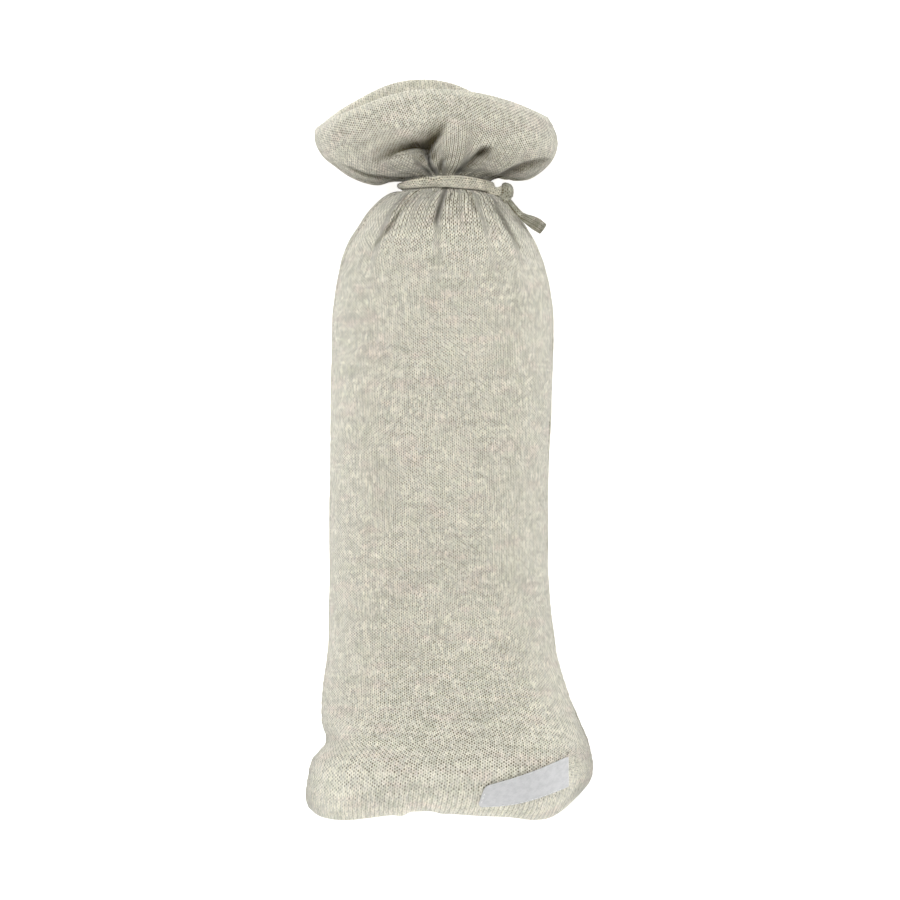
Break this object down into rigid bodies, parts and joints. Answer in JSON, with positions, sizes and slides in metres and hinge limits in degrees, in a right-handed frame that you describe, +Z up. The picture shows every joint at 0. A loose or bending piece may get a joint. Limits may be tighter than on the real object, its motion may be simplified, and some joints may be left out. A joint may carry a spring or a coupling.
{
  "type": "hot water bottle cover",
  "caption": "Soft knitted cover for a hot water bottle, lying on its back: a jersey bag gathered and tied round the neck, with a ruffled open mouth and a blank woven label.",
  "frame": {"origin": "on the surface that the cover lies on, under the middle of its length and width", "axes": "+Y from the bottom seam to the mouth, +Z up out of the face, +X to the right of someone looking down on the face"},
  "size_m": [0.1297, 0.333, 0.0767],
  "materials": {
    "cloth": "fine jersey knit, oatmeal melange, matt",
    "tie_cloth": "ribbed knitted strip, oatmeal melange, matt",
    "label_cloth": "woven satin label, off-white, slight sheen"
  },
  "bodies": {
    "root": {"front_panel": "cloth", "back_panel": "cloth", "tie_band": "tie_cloth", "tie_knot": "tie_cloth", "tie_tail": "tie_cloth", "label": "label_cloth"}
  },
  "joints": []
}
